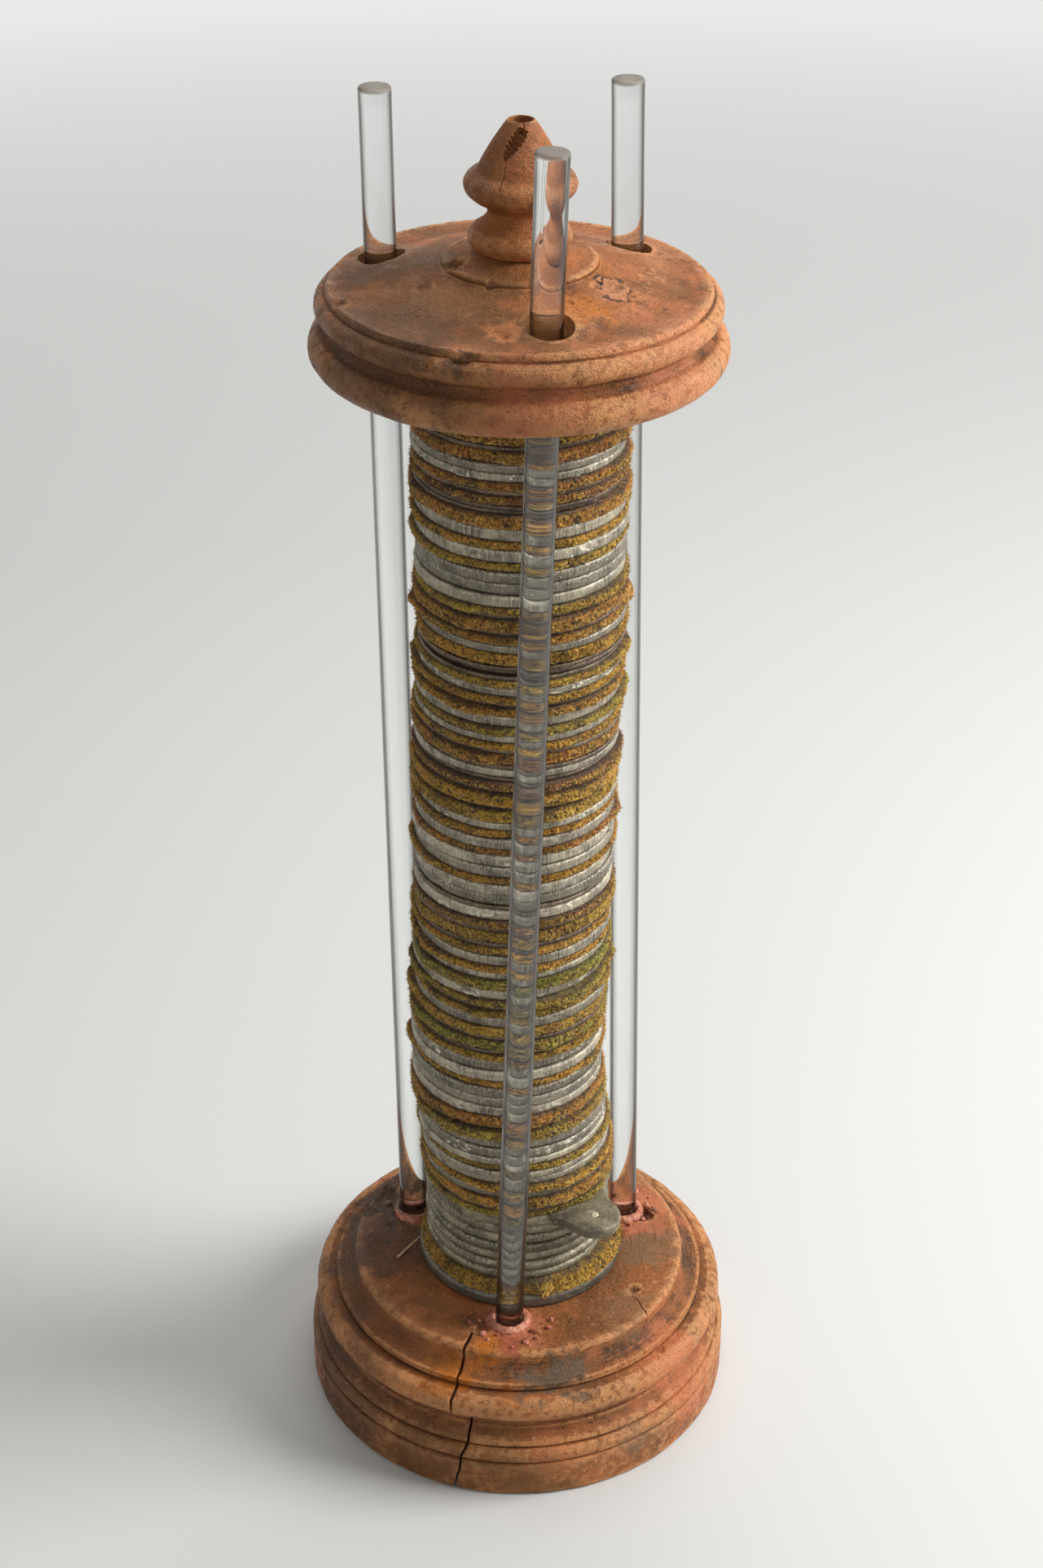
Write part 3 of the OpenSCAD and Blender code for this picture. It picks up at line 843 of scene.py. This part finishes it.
lower = discs_piece("lower_discs_worn", "lower_discs", lower_blanks, wear=0.8, gap=0.6 * mm)
coat(lower, sheet_metal(
    "bloomed_lower_discs", (92, 85, 68), (144, 134, 110), (214, 204, 172),
    rough=(0.4, 0.7), file_marks=0.2,
))
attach(lower, "lower_discs")
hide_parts("lower_discs")

plate_blanks = [blank_like(discs_in("bottom_plate")[0], edge=1.2 * mm, corners=240, rows=4)]
plate = discs_piece("bottom_plate_worn", "bottom_plate", plate_blanks, wear=0.2, gap=0)
coat(plate, sheet_metal(
    "slate_grey_plate", (84, 80, 68), (112, 106, 92), (150, 143, 124),
    rough=(0.35, 0.6), file_marks=0.1,
))
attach(plate, "base")
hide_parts("bottom_plate")

for g in groups:
    zinc_piece = discs_piece("zinc_discs_worn_" + g, "zinc_discs_" + g, zinc_blanks, 1, 0.45 * mm)
    coat(zinc_piece, zinc)
    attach(zinc_piece, "group_" + g)
    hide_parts("zinc_discs_" + g)
    copper_piece = discs_piece("copper_discs_worn_" + g, "copper_discs_" + g, copper_blanks, 0.4, 0.3 * mm)
    coat(copper_piece, copper)
    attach(copper_piece, "group_" + g)
    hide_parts("copper_discs_" + g)

# Felt: thick wool felt, once soaked in brine, punched into pads that lie between the metal discs.
# It has dried ochre, rust and olive, bulges where it is squeezed, and its cut edge has frayed.


def clear_of_rods(points):
    """Presses felt back to the column wherever it would touch a rod, at rest or lifted off."""
    for low, way, radius, _ in rods.values():
        for lift in (0, 20 * mm, 80 * mm, 160 * mm, 240 * mm):
            along = (points[:, 2] + lift - low.z) / way.z
            apart = points[:, :2] - (np.array(low[:2]) + along[:, None] * np.array(way[:2]))
            far = np.linalg.norm(apart, axis=1)
            short = np.clip(radius + 0.15 * mm - far, 0, None) * (points[:, 2] + lift < rod_top)
            points[:, :2] += apart / far[:, None] * short[:, None]
    return points


def clumps(points, size, seed):
    """Heights of matted clumps of about that size: 1 on top of a clump, below 0 between them."""
    shift = Vector((seed * 5.3, seed * 2.9, seed * 4.1))
    nearest = [noise.voronoi(Vector(p) / size + shift)[0][0] for p in points.tolist()]
    return 1 - 1.5 * np.array(nearest)


def frayed(blank, disc, radius, height, chance, flare):
    """A felt pad, bulged and tufted round its edge. flare widens its foot and draws in its top."""
    points = blank[0].copy()
    x, y, wide, low, thick = disc
    seed = chance.uniform(0, 90)
    angle = np.arctan2(points[:, 1], points[:, 0])
    far = np.hypot(points[:, 0], points[:, 1])
    rim = fade(far, 0.85 * radius, 0.97 * radius)
    upper = points[:, 2] / height
    around = np.column_stack([np.cos(angle), np.sin(angle), 0 * angle])
    sprawl = chance.uniform(0.1, 0.5) + 0.8 * lumps(around, 0.7, seed)
    sprawl += 1.0 * fade(lumps(around, 0.6, seed + 9), 0.2, 0.6)
    matted = clumps(points, 0.7 * mm, seed + 1)
    fuzz = lumps(points, 0.4 * mm, seed + 2)
    grow = rim * ((sprawl + 0.45 * matted + 0.3 * fuzz - 0.45) * mm + flare * (0.35 - upper))
    widen(points, far, grow, wide / radius)
    inside = np.minimum(upper, 1 - upper)
    points[:, 2] += rim * 0.4 * mm * lumps(points, 0.7 * mm, seed + 4) * fade(inside, 0, 0.25)
    points[:, 2] *= thick / height
    points += (x, y, low)
    # painted light: the clump tops are lighter, and painted shade darkens the pad towards its top and
    # bottom, where the discs shade it
    light = fade(matted + 0.5 * fuzz, -0.3, 1.0) * (1 - 0.7 * fade(np.abs(2 * upper - 1), 0.75, 1))
    reach = rim * sprawl * mm
    return points, light, (angle, reach)


def fibres_on(disc, chance, flare, outline):
    """Loose wool ends that stand out of a pad's edge, each a thin four-cornered spike."""
    x, y, wide, low, thick = disc
    draw = np.random.default_rng(chance.randrange(10 ** 6))
    count = int(math.tau * wide * (thick + flare) / mm ** 2 * 3.3)
    angle = draw.uniform(-math.pi, math.pi, count)
    upper = draw.uniform(0.1, 0.9, count)
    order = np.argsort(outline[0])
    reach = np.interp(angle, outline[0][order], outline[1][order])
    outward = np.column_stack([np.cos(angle), np.sin(angle), 0 * angle])
    sideways = np.column_stack([-np.sin(angle), np.cos(angle), 0 * angle])
    centre = np.array([x, y, low])
    root = centre + outward * (wide + reach - 0.6 * mm + flare * (0.35 - upper))[:, None]
    root[:, 2] += upper * thick
    way = outward * draw.uniform(0.5, 1.2, count)[:, None]
    way += sideways * draw.normal(0, 0.6, count)[:, None]
    way[:, 2] += draw.normal(0, 0.45, count) + flare / mm * 0.35
    way /= np.linalg.norm(way, axis=1)[:, None]
    length = draw.uniform(0.7, 1.5, count) * mm
    width = draw.uniform(0.09, 0.19, count) * mm
    across = np.cross(way, [0, 0, 1.0])
    across /= np.linalg.norm(across, axis=1)[:, None]
    over = np.cross(way, across)
    spike = np.stack([
        root + across * width[:, None],
        root - (across * 0.5 - over * 0.87) * width[:, None],
        root - (across * 0.5 + over * 0.87) * width[:, None],
        root + way * length[:, None],
    ], 1)
    spike[:, :, 2] = np.clip(spike[:, :, 2], low + 0.02 * thick, low + 0.98 * thick + 0.15 * mm)
    sides = [(0, 1, 3), (1, 2, 3), (2, 0, 3), (0, 2, 1)]
    shape = [[corner + 4 * at for corner in side] for side in sides for at in range(count)]
    # painted light: each fibre is dark at its root, as painted shade, and light at its tip
    light = np.tile([0.2, 0.2, 0.2, 1.0], count) * np.repeat(draw.uniform(0.4, 1, count), 4)
    return spike.reshape(-1, 3), shape, light


def felt_piece(name, node, blanks, flare, one_hue=None):
    """One node's felt pads as one piece, with their frayed fibres."""
    parts, cast, painted_tuft_light = [], [], []
    for disc in discs_in(node):
        height, radius, blank = nearest_blank(blanks, disc)
        chance = random.Random(round(disc[3] * 1e5) + 7)
        hue = one_hue or chance.random()
        points, matted, outline = frayed(blank, disc, radius, height, chance, flare)
        fibres, shape, light = fibres_on(disc, chance, flare, outline)
        parts.append((clear_of_rods(settled(points)), blank[1]))
        parts.append((clear_of_rods(settled(fibres)), shape))
        cast += [np.full(len(points), hue), np.full(len(fibres), hue)]
        painted_tuft_light += [matted, light]
    return joined(name, parts, {"cast": cast, "painted_tuft_light": painted_tuft_light})


def wool_felt():
    """Dried brine-soaked felt, from olive through ochre to rust, with painted shade between its clumps and
    fibres and painted highlights on its tips.
    """
    material, tree, _, grain = new_finish("brine_dried_felt")
    painted_tuft_light = attribute(tree, "painted_tuft_light")
    hues = add(tree, "ValToRGB", {"Fac": attribute(tree, "cast")})
    stops = [
        (0.0, (138, 134, 46)), (0.2, (182, 148, 50)), (0.5, (202, 150, 46)),
        (0.75, (196, 134, 42)), (0.92, (172, 102, 42)), (1.0, (124, 78, 44)),
    ]
    ramp = hues.color_ramp.elements
    ramp[0].color = colour(stops[0][1])
    ramp[1].color = colour(stops[-1][1])
    for at, tone in stops[1:-1]:
        ramp.new(at).color = colour(tone)
    # painted highlights on the tips of the clumps and fibres
    painted_tip_highlights = times(fit_range(painted_tuft_light, 0.4, 0.9), grain(4, 0.3, 0.52))
    shade = coats(hues.outputs[0], [
        (grain(7, 0.4, 0.7), (158, 118, 46)),
        (grain(5, 0.54, 0.74, detail=4), (96, 76, 38)),
        # painted shade between the clumps, at the pad's top and bottom and at the fibre roots
        (fit_range(painted_tuft_light, 0.3, 0), (58, 40, 18)),
        (painted_tip_highlights, (238, 198, 92), 0.8),
        (grain(0.45, 0.6, 0.74, detail=2), (82, 56, 24)),
    ])
    return finished(material, {
        "Base Color": shade,
        "Roughness": 0.95,
        "Specular IOR Level": 0.1,
        "Sheen Weight": 0.25,
        "Sheen Roughness": 0.5,
        "Normal": relief([(grain(0.4, 0.3, 0.7), 0.3)]),
    })


felt = wool_felt()
felt_found = sorted((d for g in groups for d in discs_in("felt_pads_" + g)), key=lambda d: d[4])
felt_blanks = [blank_like(felt_found[i], edge=0.7 * mm, corners=440, rows=6) for i in (0, -1)]
for g in groups:
    pads = felt_piece("felt_pads_frayed_" + g, "felt_pads_" + g, felt_blanks, flare=0)
    coat(pads, felt)
    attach(pads, "group_" + g)
    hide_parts("felt_pads_" + g)

pad_blanks = [blank_like(discs_in("bottom_pad")[0], edge=0.8 * mm, corners=480, rows=8)]
pad = felt_piece("bottom_pad_frayed", "bottom_pad", pad_blanks, flare=2.2 * mm, one_hue=0.45)
coat(pad, felt)
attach(pad, "base")
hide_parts("bottom_pad")

# Terminal: a cast zinc disc with a broad flat lug that points between the front and right rods.
# Its skin is granular, and the dimple in the lug is filled with a pale spot of solder.

terminal = copy_of("terminal_disc", "terminal_disc_cast")
modify(terminal, "REMESH", mode="VOXEL", voxel_size=0.46 * mm)
modify(terminal, "SMOOTH", factor=0.5, iterations=3)
points = swollen(terminal, [(0.05, 0.9, 71, 3), (0.1, 7, 72)])
move_points(terminal, points)
lug_way = math.radians(-48)
lug_reach = 31.4 * mm
terminal_r = 26.1 * mm
plug_r, plug_flatness, plug_depth = 1.42 * mm, 0.55, 0.75 * mm
disc_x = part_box("terminal_disc")[0].x + terminal_r
dimple = (disc_x + lug_reach * math.cos(lug_way), lug_reach * math.sin(lug_way), pile_low - plug_depth)
plug = primitive(
    "uv_sphere", "solder_plug", segments=40, ring_count=20, radius=plug_r, location=dimple,
    scale=(1, 1, plug_flatness),
)
grit = swollen(plug, [(0.05, 0.6, 75)])
move_points(plug, grit)
bpy.ops.object.shade_smooth()
smooth_faces(terminal, 60)
note(terminal, "cast", np.full(len(points), 0.9))
note(terminal, "flake", 0.16 * fade(lumps(points, 1.4 * mm, 73), 0.3, 0.6))
coat(terminal, sheet_metal(
    "granular_cast_zinc", (96, 89, 72), (142, 132, 108), (200, 190, 158),
    rough=(0.4, 0.65),
))
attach(terminal, "terminal")
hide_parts("terminal_disc")
note(plug, "cast", np.full(len(grit), 0.8))
note(plug, "flake", np.zeros(len(grit)))
coat(plug, sheet_metal(
    "pale_dull_solder", (168, 158, 130), (200, 190, 160), (226, 218, 192),
    shine=0.2, rough=(0.4, 0.6),
))
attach(plug, "terminal")

# Lid: turned from the same wood as the base, with two beads, a low dome and a boss with a swollen middle.
# Its three roomy holes let it slide down over the rods; a filled knot and old knocks mark its top.

lid_low, lid_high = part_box("lid")
lid_x = (lid_low.x + lid_high.x) / 2
lid = turn_on_lathe(
    "lid", "turned_lid", axis_x=lid_x, cut_degrees=-30, spacing=0.76 * mm, steps=350,
    plain=lambda radius, height: radius < 22 * mm and height < lid_low.z + 0.5 * mm,
    eased=lambda radius, height: 19.5 * mm < radius < 43 * mm and height > lid_low.z + 15 * mm, rounds=40,
)
points = swollen(lid, [(0.14, 9, 81), (0.05, 1.5, 82)])
for hollow in [
    ((17.7, -11.6, 334), 3.4, 0.5, 83), ((20.4, -10.4, 334), 1.6, 0.7, 84),
    ((15.4, -12.4, 334), 1.3, 0.6, 85),
    ((-17.5, -6.5, 337), 3, 1.1, 86), ((-24, -12, 333.6), 2.2, 0.5, 87),
    ((-15.5, -44.6, 330.5), 3.4, 0.8, 88),
    ((-9, -17.2, 336.8), 1.6, 0.7, 89), ((-6.2, -34.2, 331), 2.4, 0.8, 90), ((20, -38, 331), 1.6, 0.3, 91),
    ((9, -21, 334.2), 1.4, 0.35, 92), ((-44, -14, 331), 3, 0.6, 93), ((30, 20, 331.6), 2, 0.4, 94),
]:
    dent(points, *hollow)
points[:, 2] = np.clip(points[:, 2], lid_low.z, lid_high.z)
boss_rise = 1.9 * mm
far = np.hypot(points[:, 0] - lid_x, points[:, 1])
high = fade(points[:, 2], lid_high.z - 1.0 * mm, lid_high.z - 0.2 * mm)
points[:, 2] += boss_rise * high * (1 - fade(far, 9 * mm, 18 * mm))
move_points(lid, points)
hole_r = 5.7 * mm
hole_shift = 0.5 * mm
lid_middle, hole_level = (lid_low.z + lid_high.z) / 2, (lid_low.z + rod_top) / 2
cut_out(lid, drills(hole_r, 50 * mm, corners=96, level=hole_level, middle=lid_middle, shift=hole_shift))
note_wear(lid)
coat(lid, stained_wood("worn_stained_lid", lid_x, [
    ((-22, -22, 332), 30, (98, 66, 36), 0.75), ((-34, 6, 331), 24, (82, 56, 34), 0.7),
    # painted shade on the front of the lid's bead, towards the left
    ((-14, -50, 322), 24, (92, 60, 40), 0.55),
    ((12, -24, 333), 9, ochre_stain, 0.65), ((12, -2, 334), 9, ochre_stain, 0.4),
    ((-15.5, -45.5, 330), 5, soot_and_shade, 0.8), ((-24, -40, 330), 7, soot_and_shade, 0.6),
    ((-5.6, -33, 331), 5, dusty_pink, 0.9),
    ((30, 22, 331), 15, dusty_pink, 0.4), ((-34, -34, 320), 24, (74, 50, 36), 0.65),
    ((0, -48, 317), 18, (186, 108, 74), 0.45), ((34, -34, 322), 22, (196, 122, 84), 0.5),
    ((-23.8, -9, 333.6), 3.4, soot_and_shade, 0.5), ((16, -28, 332), 3, soot_and_shade, 0.5), ((25.7, -17, 332), 2.6, soot_and_shade, 0.5),
    ((9.5, -15, 336), 3, soot_and_shade, 0.5), ((-50, -6, 322), 20, (74, 50, 36), 0.6),
], ((19, -12, 333), 4.6, 6.6)))
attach(lid, "lid")
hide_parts("lid")

# Finial: a separate turned knob, glued by its tenon in the lid's boss. Its tip was cut off flat and bored
# for a screw, and the wood has split away at the front left, so that the screw thread's marks show.

knob = turn_on_lathe(
    "finial", "turned_finial", axis_x=lid_x, cut_degrees=-30, spacing=0.48 * mm, steps=190,
    plain=lambda radius, height: height < lid_high.z - 1 * mm,
    eased=lambda radius, height: 3.6 * mm < radius and height > lid_high.z + 1 * mm, rounds=18,
)
points = swollen(knob, [(0.12, 7, 101), (0.05, 1.2, 102)])
foot = fade(points[:, 2], lid_high.z - 0.4 * mm, lid_high.z - 0.1 * mm)
points[:, 2] += boss_rise * foot * (1 - fade(points[:, 2], lid_high.z + 5 * mm, lid_high.z + 11 * mm))
move_points(knob, points)
slot_top = Vector((-1.6, -3.75, 368.0)) * mm
slot_end = Vector((-6.0, -6.9, 361.2)) * mm
slot_length = (slot_end - slot_top).length
screw = primitive("cylinder", vertices=32, radius=1.2 * mm, depth=slot_length)
slice_along(slot_length, 64)
for corner in screw.data.vertices:
    share = corner.co.z / slot_length + 0.5
    turn = math.atan2(corner.co.y, corner.co.x)
    thread = 1 + 0.13 * math.sin(math.tau * corner.co.z / (1.15 * mm) - turn)
    taper = 0.25 + 1.1 * math.sin(math.pi * 0.86 * max(0, share)) ** 0.75
    corner.co.x *= thread * taper
    corner.co.y *= thread * taper
lay(screw, (slot_top + slot_end) / 2, slot_top - slot_end)
split = crack_blade((-5.3, -6.4), (-7.2, -11.4), low=355, high=362, lean=0, width=0.25, seed=105)
tip_split = crack_blade((-1.9, -2.6), (-1.3, -5.2), low=366.5, high=371, lean=0, width=0.3, seed=106)
cut_out(knob, [screw, split, tip_split])
note_wear(knob, (30, 0.25 * mm), (4, 0.04 * mm), share=0.6)
coat(knob, stained_wood("worn_stained_finial", lid_x, [
    ((-13, -4, 340), 4, dusty_pink, 0.8), ((-8, -9, 354), 7, umber, 0.6), ((2, -13, 354), 4, soot_and_shade, 0.5),
    ((-8, 0, 345), 8, ochre_stain, 0.4), ((-12, -4, 360), 10, (92, 60, 38), 0.5),
    ((-4, -5.5, 364.6), 6, (132, 86, 56), 0.6),
]))
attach(knob, "lid")
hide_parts("finial")

# Studio: a plain pale floor that runs into a pale backdrop, soft light from the right and behind, and
# a camera that looks down on the pile from the front. None of this belongs to the object.

backdrop = colour((234, 234, 232))
floor_width = 60
floor_fades = (0.55, 1.5)


def seen_directly(tree):
    """1 for what is seen, also through glass or mirrored, and 0 for the light that falls on the pile."""
    path = add(tree, "LightPath", {}).outputs
    through = maths("MAXIMUM", path["Is Glossy Ray"], path["Is Transmission Ray"])
    return maths("MAXIMUM", path["Is Camera Ray"], through)


def show_backdrop(tree, output, share, lit, kind):
    """Shows a share of plain backdrop, made by a kind of light, instead of what is lit."""
    plain = add(tree, kind, {"Color": backdrop, "Strength": 1})
    both = add(tree, "MixShader", {0: share, 1: lit.outputs[0], 2: plain.outputs[0]})
    feed(tree, tree.nodes[output], {"Surface": both.outputs[0]})


floor = primitive("plane", "studio_floor", size=floor_width)
floor_finish, tree, place, _ = new_finish("pale_studio_floor")
finished(floor_finish, {"Base Color": colour((208, 208, 206)), "Roughness": 0.9})
away = vector_maths("LENGTH", place)
lost = times(fit_range(away, *floor_fades), seen_directly(tree))
show_backdrop(tree, "Material Output", lost, tree.nodes["Principled BSDF"], "Emission")
coat(floor, floor_finish)

world = bpy.data.worlds.new("studio_air")
world.use_nodes = True
tree = world.node_tree
soft = tree.nodes["Background"]
feed(tree, soft, {"Color": colour((238, 238, 236)), "Strength": 0.27})
show_backdrop(tree, "World Output", seen_directly(tree), soft, "Background")
bpy.context.scene.world = world

aim = Vector((0, 0, 0.19))
for name, place, size, power in [
    ("key_light", (0.95, 0.0, 0.75), 0.6, 17), ("top_light", (0.1, 0.5, 1.3), 0.9, 7),
    ("front_fill", (-0.3, -1.2, 0.8), 0.9, 2.2),
]:
    lamp = bpy.data.lights.new(name, "AREA")
    lamp.size = size
    lamp.energy = power
    light = new_piece(name, lamp)
    light.location = place
    light.rotation_euler = (aim - Vector(place)).to_track_quat("-Z", "Y").to_euler()
    light.visible_camera = False

picture_height = 1924
focal_pixels = 3218.2
sensor_width = 36
camera_place = (0, -0.58002, 0.54705)
tilt, yaw, roll = 0.546, 0.001, 0.011
lens = bpy.data.cameras.new("view_camera")
lens.sensor_width = sensor_width
lens.lens = focal_pixels / picture_height * sensor_width
lens.clip_start = 0.01
camera = new_piece("view_camera", lens)
turned = Matrix.Rotation(yaw, 4, "Z") @ Matrix.Rotation(math.pi / 2 - tilt, 4, "X")
turned = turned @ Matrix.Rotation(roll, 4, "Z")
camera.matrix_world = Matrix.Translation(camera_place) @ turned
bpy.context.scene.camera = camera
bpy.context.scene.view_settings.view_transform = "Standard"
